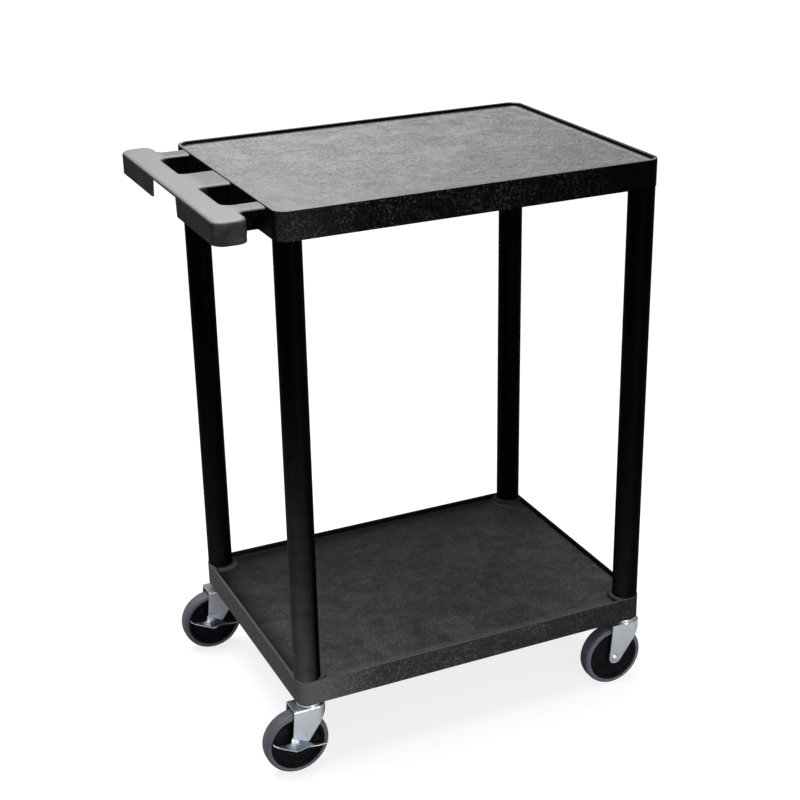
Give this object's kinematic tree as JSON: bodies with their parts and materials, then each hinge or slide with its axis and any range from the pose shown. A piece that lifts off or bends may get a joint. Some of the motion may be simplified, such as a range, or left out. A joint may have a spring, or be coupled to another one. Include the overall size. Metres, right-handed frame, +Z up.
{
  "type": "food service trolley",
  "caption": "Two-shelf moulded plastic trolley: lipped decks on round tube legs, a push handle moulded into one end, swivel casters and side brakes at the handle end.",
  "frame": {"origin": "on the floor, under the middle of the overall length and width", "axes": "+X along the length, away from the push handle; +Y to the back long side; +Z up"},
  "size_m": [0.7046, 0.4691, 0.899],
  "materials": {
    "shelf_plastic": "black structural foam plastic with a leathery moulded grain",
    "leg_plastic": "smooth satin black plastic tube",
    "core_plastic": "dark moulded wheel core",
    "tyre_rubber": "grey non-marking thermoplastic rubber",
    "zinc_plate": "bright zinc plated pressed steel",
    "pedal_steel": "nickel plated spring steel",
    "bright_steel": "bright turned steel"
  },
  "bodies": {
    "frame": {"top_shelf": "shelf_plastic", "lower_shelf": "shelf_plastic", "leg_front_left": "leg_plastic", "stem_socket_front_left": "bright_steel", "stem_front_left": "bright_steel", "raceway_front_left": "zinc_plate", "leg_front_right": "leg_plastic", "stem_socket_front_right": "bright_steel", "stem_front_right": "bright_steel", "raceway_front_right": "zinc_plate", "leg_back_left": "leg_plastic", "stem_socket_back_left": "bright_steel", "stem_back_left": "bright_steel", "raceway_back_left": "zinc_plate", "leg_back_right": "leg_plastic", "stem_socket_back_right": "bright_steel", "stem_back_right": "bright_steel", "raceway_back_right": "zinc_plate"},
    "swivel_front_left": {"fork_front_left": "zinc_plate", "balls_front_left": "bright_steel", "axle_bolt_front_left": "zinc_plate", "axle_nut_front_left": "zinc_plate", "axle_sleeve_front_left": "bright_steel", "brake_bracket_front_left": "zinc_plate"},
    "wheel_front_left": {"wheel_core_front_left": "core_plastic", "tyre_front_left": "tyre_rubber"},
    "brake_front_left": {"brake_pedal_front_left": "pedal_steel"},
    "swivel_front_right": {"fork_front_right": "zinc_plate", "balls_front_right": "bright_steel", "axle_bolt_front_right": "zinc_plate", "axle_nut_front_right": "zinc_plate", "axle_sleeve_front_right": "bright_steel"},
    "wheel_front_right": {"wheel_core_front_right": "core_plastic", "tyre_front_right": "tyre_rubber"},
    "swivel_back_left": {"fork_back_left": "zinc_plate", "balls_back_left": "bright_steel", "axle_bolt_back_left": "zinc_plate", "axle_nut_back_left": "zinc_plate", "axle_sleeve_back_left": "bright_steel", "brake_bracket_back_left": "zinc_plate"},
    "wheel_back_left": {"wheel_core_back_left": "core_plastic", "tyre_back_left": "tyre_rubber"},
    "brake_back_left": {"brake_pedal_back_left": "pedal_steel"},
    "swivel_back_right": {"fork_back_right": "zinc_plate", "balls_back_right": "bright_steel", "axle_bolt_back_right": "zinc_plate", "axle_nut_back_right": "zinc_plate", "axle_sleeve_back_right": "bright_steel"},
    "wheel_back_right": {"wheel_core_back_right": "core_plastic", "tyre_back_right": "tyre_rubber"}
  },
  "joints": [
    {"name": "swivel_front_left", "type": "hinge", "parent": "frame", "child": "swivel_front_left", "pos_m": [-0.24275, -0.198, 0.112], "axis": [0, 0, 1], "continuous": true},
    {"name": "wheel_front_left", "type": "hinge", "parent": "swivel_front_left", "child": "wheel_front_left", "pos_m": [-0.26675, -0.198, 0.052], "axis": [0, 1, 0], "continuous": true},
    {"name": "brake_front_left", "type": "hinge", "parent": "swivel_front_left", "child": "brake_front_left", "pos_m": [-0.26675, -0.198, 0.052], "axis": [0, -1, 0], "range_deg": [0, 30]},
    {"name": "swivel_front_right", "type": "hinge", "parent": "frame", "child": "swivel_front_right", "pos_m": [0.32425, -0.198, 0.112], "axis": [0, 0, 1], "continuous": true},
    {"name": "wheel_front_right", "type": "hinge", "parent": "swivel_front_right", "child": "wheel_front_right", "pos_m": [0.30025, -0.198, 0.052], "axis": [0, 1, 0], "continuous": true},
    {"name": "swivel_back_left", "type": "hinge", "parent": "frame", "child": "swivel_back_left", "pos_m": [-0.24275, 0.209, 0.112], "axis": [0, 0, 1], "continuous": true},
    {"name": "wheel_back_left", "type": "hinge", "parent": "swivel_back_left", "child": "wheel_back_left", "pos_m": [-0.26675, 0.209, 0.052], "axis": [0, 1, 0], "continuous": true},
    {"name": "brake_back_left", "type": "hinge", "parent": "swivel_back_left", "child": "brake_back_left", "pos_m": [-0.26675, 0.209, 0.052], "axis": [0, -1, 0], "range_deg": [0, 30]},
    {"name": "swivel_back_right", "type": "hinge", "parent": "frame", "child": "swivel_back_right", "pos_m": [0.32425, 0.209, 0.112], "axis": [0, 0, 1], "continuous": true},
    {"name": "wheel_back_right", "type": "hinge", "parent": "swivel_back_right", "child": "wheel_back_right", "pos_m": [0.30025, 0.209, 0.052], "axis": [0, 1, 0], "continuous": true}
  ]
}
